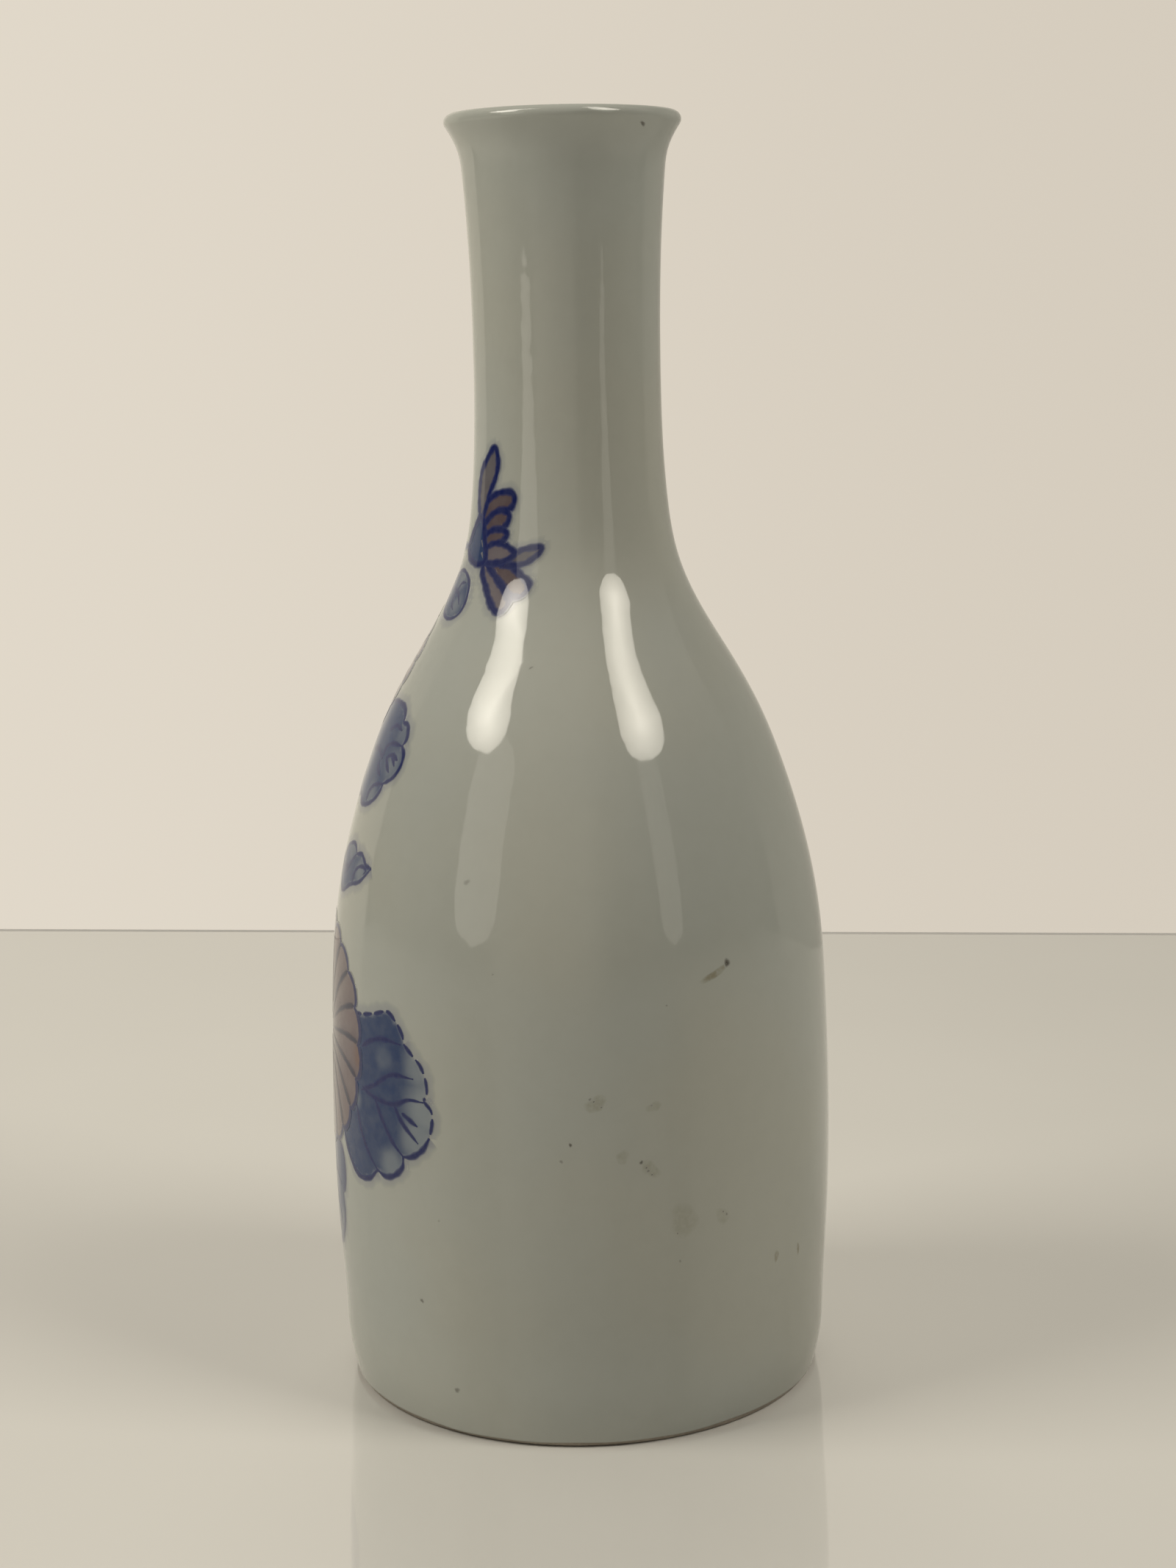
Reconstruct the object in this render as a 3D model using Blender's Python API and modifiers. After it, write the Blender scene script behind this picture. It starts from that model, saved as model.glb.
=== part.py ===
"""Sake bottle (tokkuri) for 180 ml: one turned and fired porcelain body, open at the mouth.

Metres, +Z up. The origin is the centre of the foot ring, on the surface that the bottle stands on.
The whole bottle is a single profile turned about Z: floor, inner wall, lip, outer wall and foot.
"""
import math

import bpy
import numpy as np

# Driving dimensions
HEIGHT = 0.1560              # foot to the top of the lip
BODY_RADIUS = 0.03155        # the widest part, low on the body
NECK_RADIUS = 0.01147        # the narrowest part of the neck
LIP_RADIUS = 0.01425         # the outer edge of the mouth
FOOT_RADIUS = 0.0289         # the outer edge of the ring that touches the table
WALL = 0.0029                # thickness of the wall, square to its surface

# Lip: a half-round bead that the neck flares into
LIP_BEAD = 0.00095           # radius of the bead
LIP_UNDERCUT = math.radians(33.0)  # how far below its equator the outer wall meets the bead
LIP_HEIGHT = HEIGHT - LIP_BEAD     # height of the bead's centre

# Foot: a bare flat ring around a shallow recess
FOOT_EDGE = 0.0009           # radius of the rounding between the ring and the outer wall
FOOT_INNER_RADIUS = 0.0254   # the inner edge of the ring
RECESS_DEPTH = 0.0018        # from the ring up to the recess
RECESS_DOME = 0.0005         # how much higher the recess is at its middle
RECESS_SLOPE = 0.0016        # how far in the side of the recess reaches

# Inside
FLOOR_HEIGHT = 0.0056        # the inner floor, at its middle
FLOOR_CORNER = 0.0075        # radius between the floor and the inner wall
THROAT_HEIGHT = 0.1485       # where the inner wall starts to open towards the lip

# Outer wall between the foot and the bead: (height, radius) at the places that shape it
OUTLINE = (
    (FOOT_EDGE, 0.02980),
    (0.0045, 0.03052),
    (0.0095, 0.03078),
    (0.0165, 0.03113),
    (0.0300, BODY_RADIUS),
    (0.0480, 0.03120),
    (0.0580, 0.03055),
    (0.0670, 0.02900),
    (0.0760, 0.02645),
    (0.0850, 0.02290),
    (0.0910, 0.01960),
    (0.0970, 0.01602),
    (0.1030, 0.01342),
    (0.1100, 0.01214),
    (0.1180, 0.01161),
    (0.1280, NECK_RADIUS),
    (0.1400, 0.01170),
    (0.1490, 0.01226),
    (0.1520, 0.01278),
)
FOOT_FLARE = 0.22            # radius gained per unit of height just above the foot

# Fineness of the solid
TURN_STEPS = 56
SPAN_STEPS = 2               # profile points for each span of the outline
INNER_STEPS = 12             # profile points up the inner wall
CORNER_STEPS = 4             # profile points for each quarter of a rounding

GLAZE_COLOUR = (0.60, 0.61, 0.55, 1.0)
GLAZE_ROUGHNESS = 0.12


def clear_scene():
    """Remove the objects that the file opened with."""
    for old in list(bpy.data.objects):
        bpy.data.objects.remove(old, do_unlink=True)


def smooth_curve(stations, first_slope, last_slope):
    """A cubic curve through (height, radius) stations, as a function giving radius and slope."""
    heights, radii = np.array(stations).T
    spans = np.diff(heights)
    rises = np.diff(radii) / spans
    count = len(heights)
    system = np.eye(count)
    target = np.zeros(count)
    target[0] = first_slope
    target[-1] = last_slope
    for i in range(1, count - 1):
        system[i, i - 1:i + 2] = spans[i], 2.0 * (spans[i - 1] + spans[i]), spans[i - 1]
        target[i] = 3.0 * (spans[i] * rises[i - 1] + spans[i - 1] * rises[i])
    slopes = np.linalg.solve(system, target)

    def at(height):
        i = min(max(int(np.searchsorted(heights, height)) - 1, 0), count - 2)
        span = spans[i]
        t = (height - heights[i]) / span
        bend = slopes[i] + slopes[i + 1] - 2.0 * rises[i]
        lean = 3.0 * rises[i] - 2.0 * slopes[i] - slopes[i + 1]
        radius = radii[i] + span * t * (slopes[i] + t * (lean + t * bend))
        slope = slopes[i] + t * (2.0 * lean + 3.0 * t * bend)
        return float(radius), float(slope)

    return at


def arc(centre_radius, centre_height, size, start, end, steps):
    """Profile points on an arc; angles run from +X towards +Z."""
    points = []
    for i in range(steps + 1):
        angle = start + (end - start) * i / steps
        points.append((centre_radius + size * math.cos(angle), centre_height + size * math.sin(angle)))
    return points


def outer_wall():
    """The outer wall as a function of height, up to where it meets the lip's bead."""
    top_radius = LIP_RADIUS - LIP_BEAD + LIP_BEAD * math.cos(LIP_UNDERCUT)
    top_height = LIP_HEIGHT - LIP_BEAD * math.sin(LIP_UNDERCUT)
    stations = OUTLINE + ((top_height, top_radius),)
    return smooth_curve(stations, FOOT_FLARE, math.tan(LIP_UNDERCUT)), stations


def inner_points(wall):
    """Floor, corner, inner wall and throat, from the middle of the floor up to the bead."""
    def radius_at(height):
        radius, slope = wall(height)
        return radius - WALL * math.hypot(1.0, slope)

    corner_top = FLOOR_HEIGHT + FLOOR_CORNER
    side_radius = radius_at(corner_top)
    points = [(0.0, FLOOR_HEIGHT)]
    points += arc(side_radius - FLOOR_CORNER, corner_top, FLOOR_CORNER, -math.pi / 2, 0.0, CORNER_STEPS)
    for i in range(1, INNER_STEPS + 1):
        height = corner_top + (THROAT_HEIGHT - corner_top) * i / INNER_STEPS
        points.append((radius_at(height), height))
    throat_radius = radius_at(THROAT_HEIGHT)
    mouth_radius = LIP_RADIUS - 2.0 * LIP_BEAD
    for t in (0.35, 0.7):
        ease = t * t * (3.0 - 2.0 * t)
        height = THROAT_HEIGHT + (LIP_HEIGHT - THROAT_HEIGHT) * t
        points.append((throat_radius + (mouth_radius - throat_radius) * ease, height))
    return points


def profile_points():
    """The whole section at +X: it runs from the floor up, over the lip and down to the recess."""
    wall, stations = outer_wall()
    points = inner_points(wall)
    bead_radius = LIP_RADIUS - LIP_BEAD
    points += arc(bead_radius, LIP_HEIGHT, LIP_BEAD, math.pi, math.pi / 2, CORNER_STEPS)
    points += arc(bead_radius, LIP_HEIGHT, LIP_BEAD, math.pi / 2, -LIP_UNDERCUT, CORNER_STEPS + 1)[1:]
    heights = [height for height, _ in stations]
    for low, high in reversed(list(zip(heights, heights[1:]))):
        for i in range(1, SPAN_STEPS + 1):
            height = high - (high - low) * i / SPAN_STEPS
            points.append((wall(height)[0], height))
    points += arc(FOOT_RADIUS, FOOT_EDGE, FOOT_EDGE, 0.0, -math.pi / 2, CORNER_STEPS)[1:]
    points.append((FOOT_INNER_RADIUS, 0.0))
    points.append((FOOT_INNER_RADIUS - RECESS_SLOPE, RECESS_DEPTH))
    points.append((0.0, RECESS_DEPTH + RECESS_DOME))
    return points


def turn(name, points, collection):
    """Turn a profile about Z with a Screw modifier."""
    mesh = bpy.data.meshes.new(name)
    vertices = [(radius, 0.0, height) for radius, height in points]
    edges = [(i, i + 1) for i in range(len(points) - 1)]
    mesh.from_pydata(vertices, edges, [])
    turned = bpy.data.objects.new(name, mesh)
    collection.objects.link(turned)
    screw = turned.modifiers.new("turn", "SCREW")
    screw.axis = "Z"
    screw.angle = 2.0 * math.pi
    screw.steps = TURN_STEPS
    screw.render_steps = TURN_STEPS
    screw.use_merge_vertices = True
    screw.merge_threshold = 0.00001
    screw.use_smooth_shade = True
    return turned


def glaze_material():
    """Grey-green white porcelain glaze."""
    material = bpy.data.materials.new("glazed_porcelain")
    material.use_nodes = True
    shader = material.node_tree.nodes["Principled BSDF"]
    shader.inputs["Base Color"].default_value = GLAZE_COLOUR
    shader.inputs["Roughness"].default_value = GLAZE_ROUGHNESS
    shader.inputs["Metallic"].default_value = 0.0
    return material


def main():
    clear_scene()
    collection = bpy.data.collections.new("sake_bottle")
    bpy.context.scene.collection.children.link(collection)
    bottle = turn("bottle", profile_points(), collection)
    bottle.data.materials.append(glaze_material())


main()
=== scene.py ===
"""Looks of the sake bottle: glazed porcelain, a painted flower spray, the bare foot and soft studio light.

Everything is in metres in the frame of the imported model. The painting is drawn in millimetres on a flat
chart of the wall: u runs round the wall from the -X side towards the camera's side, and v runs up the
wall from the table, measured along its surface.
"""

import math

import bpy
import numpy as np
from mathutils import Matrix, Vector
from mathutils.geometry import delaunay_2d_cdt


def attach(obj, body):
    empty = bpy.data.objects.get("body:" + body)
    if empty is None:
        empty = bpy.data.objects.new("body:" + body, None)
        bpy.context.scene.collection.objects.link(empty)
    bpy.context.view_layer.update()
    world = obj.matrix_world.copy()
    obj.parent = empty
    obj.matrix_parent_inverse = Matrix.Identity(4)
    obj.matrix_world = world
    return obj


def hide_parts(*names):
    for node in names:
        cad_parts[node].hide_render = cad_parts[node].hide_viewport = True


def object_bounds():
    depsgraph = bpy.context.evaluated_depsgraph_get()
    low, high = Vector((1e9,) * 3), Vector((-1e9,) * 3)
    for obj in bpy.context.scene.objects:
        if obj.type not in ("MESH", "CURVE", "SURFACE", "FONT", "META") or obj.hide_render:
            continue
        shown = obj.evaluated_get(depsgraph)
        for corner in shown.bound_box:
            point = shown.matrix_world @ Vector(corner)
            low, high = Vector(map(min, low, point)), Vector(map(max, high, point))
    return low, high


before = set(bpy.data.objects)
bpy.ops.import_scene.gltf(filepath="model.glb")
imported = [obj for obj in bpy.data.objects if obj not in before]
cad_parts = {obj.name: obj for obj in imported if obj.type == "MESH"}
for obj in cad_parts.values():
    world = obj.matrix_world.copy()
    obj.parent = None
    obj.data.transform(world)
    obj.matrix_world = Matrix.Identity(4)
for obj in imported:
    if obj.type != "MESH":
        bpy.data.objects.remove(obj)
cad_low, cad_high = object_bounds()

MM = 0.001

# ---------------------------------------------------------------- the wall, as the CAD part has it

HEIGHT = cad_high.z
BODY_RADIUS = cad_high.x
NECK_RADIUS = 0.01147
LIP_RADIUS = 0.01425
LIP_BEAD = 0.00095
LIP_UNDERCUT = math.radians(33.0)
LIP_HEIGHT = HEIGHT - LIP_BEAD
FOOT_RADIUS = 0.0289
FOOT_EDGE = 0.0009
FOOT_INNER_RADIUS = 0.0254
FOOT_FLARE = 0.22
RECESS_DEPTH = 0.0018
RECESS_DOME = 0.0005
WALL = 0.0029
FLOOR_HEIGHT = 0.0056
FLOOR_CORNER = 0.0075
THROAT_HEIGHT = 0.1485
OUTLINE = (
    (FOOT_EDGE, 0.02980),
    (0.0045, 0.03052),
    (0.0095, 0.03078),
    (0.0165, 0.03113),
    (0.0300, BODY_RADIUS),
    (0.0480, 0.03120),
    (0.0580, 0.03055),
    (0.0670, 0.02900),
    (0.0760, 0.02645),
    (0.0850, 0.02290),
    (0.0910, 0.01960),
    (0.0970, 0.01602),
    (0.1030, 0.01342),
    (0.1100, 0.01214),
    (0.1180, 0.01161),
    (0.1280, NECK_RADIUS),
    (0.1400, 0.01170),
    (0.1490, 0.01226),
    (0.1520, 0.01278),
    (LIP_HEIGHT - LIP_BEAD * math.sin(LIP_UNDERCUT),
     LIP_RADIUS - LIP_BEAD + LIP_BEAD * math.cos(LIP_UNDERCUT)),
)

# The glazed skin lies a hair inside the CAD wall, so that the paint on it stays inside the CAD box
SKIN_INSET = 0.00007
# Waves of the thrown wall: (lobes round, waves up the height, depth in mm)
WAVES = ((2, 0.6, 0.020), (3, 1.4, 0.016), (4, 2.6, 0.012), (2, 4.1, 0.010), (6, 5.3, 0.007),
         (9, 8.7, 0.0045), (5, 12.4, 0.0035), (13, 14.9, 0.0025), (8, 20.3, 0.0020))
GLAZE_END = 0.00070          # height where the glaze stops above the bare foot
GLAZE_END_WANDER = 0.00016
GLAZE_STEP = 0.00012         # thickness of the glaze at its edge
PLATE_DEPTH = 0.14           # thickness of a painted piece in mm, most of it under the skin


def smooth_curve(stations, first_slope, last_slope):
    """A cubic curve through (height, radius) stations, giving radius and slope for arrays of heights."""
    heights, radii = np.array(stations).T
    spans = np.diff(heights)
    rises = np.diff(radii) / spans
    count = len(heights)
    system = np.eye(count)
    target = np.zeros(count)
    target[0] = first_slope
    target[-1] = last_slope
    for i in range(1, count - 1):
        system[i, i - 1:i + 2] = spans[i], 2.0 * (spans[i - 1] + spans[i]), spans[i - 1]
        target[i] = 3.0 * (spans[i] * rises[i - 1] + spans[i - 1] * rises[i])
    slopes = np.linalg.solve(system, target)

    def at(height):
        i = np.clip(np.searchsorted(heights, height) - 1, 0, count - 2)
        t = (height - heights[i]) / spans[i]
        bend = slopes[i] + slopes[i + 1] - 2.0 * rises[i]
        lean = 3.0 * rises[i] - 2.0 * slopes[i] - slopes[i + 1]
        radius = radii[i] + spans[i] * t * (slopes[i] + t * (lean + t * bend))
        slope = slopes[i] + t * (2.0 * lean + 3.0 * t * bend)
        return radius, slope

    return at


wall = smooth_curve(OUTLINE, FOOT_FLARE, math.tan(LIP_UNDERCUT))
chart_heights = np.linspace(0.0, OUTLINE[-1][0], 4000)
chart_radii = wall(chart_heights)[0]
chart_lengths = np.concatenate(
    [[0.0], np.cumsum(np.hypot(np.diff(chart_heights), np.diff(chart_radii)))])


def ease(x, low, high):
    """0 below low, 1 above high, smooth between."""
    t = np.clip((x - low) / (high - low), 0.0, 1.0)
    return t * t * (3.0 - 2.0 * t)


def unevenness(height, angle):
    """How far the skin lies inside the CAD wall here; angles run from -X towards -Y."""
    total = 0.0
    for i, (lobes, waves, depth) in enumerate(WAVES):
        phase = 2.4 * i * i + 1.1
        turn = lobes * angle + 2.0 * math.pi * waves * height / HEIGHT + phase
        total = total + depth * MM * (np.sin(turn) - 1.0)
    fade = ease(height, 0.0005, 0.006) * (1.0 - ease(height, 0.1505, 0.1545))
    return 0.5 * total * fade - SKIN_INSET


def on_wall(u, v, lift):
    """Points on the painted skin for chart positions and a lift off the skin, all in mm."""
    height = np.interp(v * MM, chart_lengths, chart_heights)
    radius, slope = wall(height)
    angle = u * MM / radius
    length = np.hypot(1.0, slope)
    out = radius + unevenness(height, angle) + lift * MM / length
    up = height - lift * MM * slope / length
    return np.stack([-out * np.cos(angle), -out * np.sin(angle), up], -1)


def wall_normals(u, v):
    """Directions straight out of the wall at chart positions."""
    height = np.interp(v * MM, chart_lengths, chart_heights)
    radius, slope = wall(height)
    angle = u * MM / radius
    length = np.hypot(1.0, slope)
    return np.stack([-np.cos(angle) / length, -np.sin(angle) / length, -slope / length], -1)


def place_on_chart(angle_degrees, height_mm):
    """Chart position of a place given by its angle from -X towards -Y and its height."""
    radius = wall(np.array(height_mm * MM))[0]
    v = np.interp(height_mm * MM, chart_heights, chart_lengths) / MM
    return math.radians(angle_degrees) * float(radius) / MM, float(v)


# ---------------------------------------------------------------- turned bodies


def arc(centre_radius, centre_height, size, start, end, steps):
    """Profile points on an arc; angles run from outwards towards +Z."""
    angles = np.linspace(start, end, steps + 1)
    return [(centre_radius + size * math.cos(a), centre_height + size * math.sin(a)) for a in angles]


def turned_mesh(name, profile, segments, shape, closed):
    """Turn a profile about Z. A closed profile is a ring; an open one starts and ends on the axis."""
    angles = np.linspace(0.0, 2.0 * math.pi, segments, endpoint=False)
    rings = profile if closed else profile[1:-1]
    vertices = []
    for radius, height in rings:
        r, z = shape(radius, height, angles)
        vertices.append(np.stack([-r * np.cos(angles), -r * np.sin(angles), z], -1))
    vertices = np.concatenate(vertices)
    count = len(rings)
    faces = []
    for i in range(count if closed else count - 1):
        a = i * segments
        b = ((i + 1) % count) * segments
        for j in range(segments):
            k = (j + 1) % segments
            faces.append((a + j, b + j, b + k, a + k))
    points = vertices.tolist()
    if not closed:
        first, last = len(points), len(points) + 1
        points += [(0.0, 0.0, profile[0][1]), (0.0, 0.0, profile[-1][1])]
        b = (count - 1) * segments
        for j in range(segments):
            k = (j + 1) % segments
            faces.append((first, j, k))
            faces.append((b + j, last, b + k))
    turned = mesh_object(name, points, faces)
    turned.data.validate()
    turned.data.shade_smooth()
    return turned


def in_scene(name, data):
    made = bpy.data.objects.new(name, data)
    bpy.context.scene.collection.objects.link(made)
    return made


def mesh_object(name, points, faces):
    mesh = bpy.data.meshes.new(name)
    mesh.from_pydata(points, [], faces)
    return in_scene(name, mesh)


def skin_shape(radius, height, angles):
    """The uneven outer skin; the inner wall and the parts near the axis stay true."""
    r = np.full_like(angles, radius)
    z = np.full_like(angles, height)
    outer, _ = wall(np.clip(z, OUTLINE[0][0], OUTLINE[-1][0]))
    is_outer = ease(r, outer - 0.0008, outer - 0.0002)
    r = r + unevenness(z, angles) * is_outer
    wander = np.sin(3 * angles + 0.7) + 0.7 * np.sin(8 * angles + 2.1) + 0.4 * np.sin(19 * angles + 4.0)
    near_end = is_outer * (1.0 - ease(z, GLAZE_END, GLAZE_END + 0.0016))
    return r, z + 0.5 * GLAZE_END_WANDER * wander * near_end


def body_profile():
    """Floor, inner wall, lip, outer wall, edge of the glaze and recess, from axis to axis."""
    def inner_radius(height):
        radius, slope = wall(np.array(height))
        return float(radius - WALL * np.hypot(1.0, slope))

    corner_top = FLOOR_HEIGHT + FLOOR_CORNER
    side = inner_radius(corner_top)
    points = [(0.0, FLOOR_HEIGHT)]
    for share in (0.2, 0.5, 0.8):
        points.append(((side - FLOOR_CORNER) * share, FLOOR_HEIGHT))
    points += arc(side - FLOOR_CORNER, corner_top, FLOOR_CORNER, -math.pi / 2, 0.0, 10)
    for height in np.linspace(corner_top, THROAT_HEIGHT, 60)[1:]:
        points.append((inner_radius(height), height))
    throat = inner_radius(THROAT_HEIGHT)
    mouth = LIP_RADIUS - 2.0 * LIP_BEAD
    for t in np.linspace(0.0, 1.0, 9)[1:-1]:
        points.append((throat + (mouth - throat) * float(ease(t, 0.0, 1.0)),
                       THROAT_HEIGHT + (LIP_HEIGHT - THROAT_HEIGHT) * t))
    points += arc(LIP_RADIUS - LIP_BEAD, LIP_HEIGHT, LIP_BEAD, math.pi, -LIP_UNDERCUT, 26)
    top = OUTLINE[-1][0]
    for height in np.linspace(top, 0.004, 200)[1:]:
        points.append((float(wall(np.array(height))[0]), height))
    for height in np.linspace(0.004, FOOT_EDGE, 9)[1:]:
        points.append((float(wall(np.array(height))[0]), height))
    drop = FOOT_EDGE - GLAZE_END
    end_radius = FOOT_RADIUS + math.sqrt(FOOT_EDGE ** 2 - drop ** 2)
    points.append((end_radius, GLAZE_END))
    points.append((end_radius - GLAZE_STEP * 0.6, GLAZE_END - 0.00003))
    points.append((end_radius - GLAZE_STEP * 2.0, GLAZE_END + 0.00002))
    points.append((FOOT_INNER_RADIUS - 0.0001, GLAZE_END))
    points.append((FOOT_INNER_RADIUS - 0.0003, GLAZE_END - 0.00003))
    points += arc(FOOT_INNER_RADIUS - 0.0014, GLAZE_END - 0.00003, 0.00105, 0.0, math.pi / 2, 8)[1:]
    for share in (0.8, 0.6, 0.4, 0.2):
        rise = RECESS_DEPTH + RECESS_DOME * (1.0 - share ** 2)
        points.append(((FOOT_INNER_RADIUS - 0.0014) * share, rise))
    points.append((0.0, RECESS_DEPTH + RECESS_DOME))
    return points


def foot_profile():
    """The ring of bare clay that touches the table, seen as a closed section."""
    inside = GLAZE_STEP * 1.2
    top = GLAZE_END + 0.0006
    points = arc(FOOT_RADIUS - inside, FOOT_EDGE, FOOT_EDGE, 0.0, -math.pi / 2, 10)
    for share in (0.75, 0.5, 0.25):
        points.append((FOOT_INNER_RADIUS + (FOOT_RADIUS - inside - FOOT_INNER_RADIUS) * share, 0.0))
    points += arc(FOOT_INNER_RADIUS + 0.0003, 0.0003, 0.0003, -math.pi / 2, -math.pi, 4)
    points.append((FOOT_INNER_RADIUS, top))
    points.append((FOOT_RADIUS + FOOT_EDGE - inside, top))
    return points


def plain_shape(radius, height, angles):
    return np.full_like(angles, radius), np.full_like(angles, height)


# ---------------------------------------------------------------- materials

GLAZE = (0.456, 0.479, 0.448)
GLAZE_WARM = (0.468, 0.478, 0.430)
GLAZE_GRAIN = (0.39, 0.40, 0.36)
# Bare clay colours kept darker than the clay's own colour: painted shade for the shadow line under the foot;
# the stain colour is also real wear
CLAY_SHADED = (0.29, 0.255, 0.21)
CLAY_PALE_SHADED = (0.38, 0.335, 0.28)
CLAY_STAIN_AND_SHADE = (0.18, 0.145, 0.11)


def new_material(name):
    material = bpy.data.materials.new(name)
    material.use_nodes = True
    tree = material.node_tree
    shader = tree.nodes["Principled BSDF"]
    return material, tree, shader


def connect(tree, value, socket):
    """Give a socket a number, a colour or another socket's value."""
    if isinstance(value, float):
        socket.default_value = value
    elif isinstance(value, tuple):
        socket.default_value = (*value, 1.0)
    else:
        tree.links.new(value, socket)


def add_node(tree, kind, **inputs):
    """A new node with some of its inputs filled; an input's name has _ for each space."""
    node = tree.nodes.new("ShaderNode" + kind)
    for name, value in inputs.items():
        connect(tree, value, node.inputs[name.replace("_", " ")])
    return node


def noise(tree, scale, detail, seed):
    """Noise in the object's own space; scale is in cells per metre."""
    place = add_node(tree, "TexCoord").outputs["Object"]
    texture = add_node(tree, "TexNoise", Vector=place, Scale=scale, Detail=detail)
    texture.noise_dimensions = "4D"
    texture.inputs["W"].default_value = seed
    return texture.outputs["Fac"]


def spread(tree, value, low, high, to_low=0.0, to_high=1.0):
    """Map a value from one range to another, clamped and smooth."""
    node = add_node(tree, "MapRange", Value=value, From_Min=low, From_Max=high, To_Min=to_low, To_Max=to_high)
    node.interpolation_type = "SMOOTHSTEP"
    return node.outputs["Result"]


def mix(tree, factor, first, second):
    """Mix two colours; each is a socket or three numbers."""
    node = add_node(tree, "Mix", Factor=factor)
    node.data_type = "RGBA"
    for name, value in (("A", first), ("B", second)):
        connect(tree, value, next(s for s in node.inputs if s.name == name and s.type == "RGBA"))
    return next(s for s in node.outputs if s.type == "RGBA")


def worked_out(tree, operation, *values):
    """A math node's result; each value is a socket or a number."""
    node = add_node(tree, "Math")
    node.operation = operation
    for value, socket in zip(values, node.inputs):
        connect(tree, value, socket)
    return node.outputs[0]


def times(tree, first, second):
    return worked_out(tree, "MULTIPLY", first, second)


def bump(tree, shader, height, strength, distance):
    """Raise the surface by a height from 0 to 1; distance is in metres."""
    node = add_node(tree, "Bump", Height=height, Strength=strength, Distance=distance)
    tree.links.new(node.outputs["Normal"], shader.inputs["Normal"])


def glaze_colour(tree):
    """Grey-green white glaze that pools a little warmer and cooler in soft clouds."""
    clouds = spread(tree, noise(tree, 28.0, 2.0, 3.0), 0.38, 0.66)
    base = mix(tree, clouds, GLAZE, GLAZE_WARM)
    grain = spread(tree, noise(tree, 420.0, 3.0, 5.0), 0.35, 0.75)
    return mix(tree, times(tree, grain, 0.10), base, GLAZE_GRAIN)


def glossy_finish(tree, shader):
    """The clear, slightly rippled top of the glaze."""
    shader.inputs["IOR"].default_value = 1.5
    polish = noise(tree, 160.0, 2.0, 1.0)
    tree.links.new(spread(tree, polish, 0.3, 0.7, 0.035, 0.055), shader.inputs["Roughness"])
    bump(tree, shader, noise(tree, 260.0, 1.5, 8.0), 0.5, 0.00007)


def glaze_material():
    material, tree, shader = new_material("porcelain_glaze")
    tree.links.new(glaze_colour(tree), shader.inputs["Base Color"])
    glossy_finish(tree, shader)
    return material


def paint_material(name, cloud_scale, cloud_depth):
    """Paint under the glaze. A vertex colour holds the pigment, and its alpha how much of it there is."""
    material, tree, shader = new_material(name)
    pigment = add_node(tree, "Attribute")
    pigment.attribute_name = "paint"
    clouds = spread(tree, noise(tree, cloud_scale, 3.0, 2.0), 0.32, 0.68, 1.0, 1.0 - cloud_depth)
    amount = times(tree, pigment.outputs["Alpha"], clouds)
    base = mix(tree, amount, glaze_colour(tree), pigment.outputs["Color"])
    tree.links.new(base, shader.inputs["Base Color"])
    glossy_finish(tree, shader)
    return material


def clay_material():
    """Fired clay without glaze, sandy and a little stained by use, all of it darkened as painted shade for
    the dark line of shadow under the foot.
    """
    material, tree, shader = new_material("bare_clay_shaded")
    grain = spread(tree, noise(tree, 2600.0, 4.0, 4.0), 0.35, 0.7)
    stain = spread(tree, noise(tree, 140.0, 3.0, 6.0), 0.4, 0.7)
    base = mix(tree, grain, CLAY_SHADED, CLAY_PALE_SHADED)
    tree.links.new(mix(tree, times(tree, stain, 0.5), base, CLAY_STAIN_AND_SHADE), shader.inputs["Base Color"])
    tree.links.new(spread(tree, grain, 0.0, 1.0, 0.6, 0.85), shader.inputs["Roughness"])
    bump(tree, shader, grain, 0.6, 0.00006)
    return material


# ---------------------------------------------------------------- drawing on the chart

NAVY = (0.001, 0.008, 0.095)
NAVY_SOFT = (0.030, 0.046, 0.175)
BLUE = (0.011, 0.037, 0.128)
BLUE_PALE = (0.270, 0.310, 0.340)
STEM_BLUE = (0.045, 0.065, 0.175)
LINE_MAUVE = (0.012, 0.012, 0.045)
MAUVE = (0.118, 0.084, 0.096)
MAUVE_DARK = (0.050, 0.038, 0.065)
PINK_PALE = (0.190, 0.141, 0.147)
PETAL_GREY = (0.150, 0.122, 0.142)
PETAL_DUSK = (0.108, 0.096, 0.115)
PETAL_RED = (0.088, 0.052, 0.060)
RUST = (0.170, 0.078, 0.050)
SPECK_BROWN = (0.060, 0.050, 0.040)
STAIN_BROWN = (0.280, 0.265, 0.190)


def rgba(colour, alpha=1.0):
    return np.array([*colour, alpha])


def blend(first, second, share):
    """Mix rows of colours; share holds one number for each row."""
    share = np.asarray(share)[..., None]
    return np.asarray(first) * (1.0 - share) + np.asarray(second) * share


def evenly(points, step):
    """Resample a polyline at an even step."""
    points = np.asarray(points, float)
    lengths = np.concatenate([[0.0], np.cumsum(np.hypot(*np.diff(points, axis=0).T))])
    count = max(3, int(round(lengths[-1] / step)) + 1)
    at = np.linspace(0.0, lengths[-1], count)
    return np.stack([np.interp(at, lengths, points[:, k]) for k in (0, 1)], -1)


def curve(points, step=0.25):
    """A smooth line through a few points."""
    p = np.asarray(points, float)
    if len(p) == 2:
        return evenly(p, step)
    p = np.concatenate([[2 * p[0] - p[1]], p, [2 * p[-1] - p[-2]]])
    t = np.linspace(0.0, 1.0, 24, endpoint=False)[:, None]
    pieces = []
    for a, b, c, d in zip(p, p[1:], p[2:], p[3:]):
        pieces.append(0.5 * (2 * b + (c - a) * t + (2 * a - 5 * b + 4 * c - d) * t ** 2
                             + (3 * b - a - 3 * c + d) * t ** 3))
    pieces.append(p[-2][None])
    return evenly(np.concatenate(pieces), step)


def closed_curve(points, step=0.25):
    """A smooth closed outline through a few points; its first point may be a corner."""
    return curve(tuple(points) + (points[0],), step)[:-1]


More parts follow.
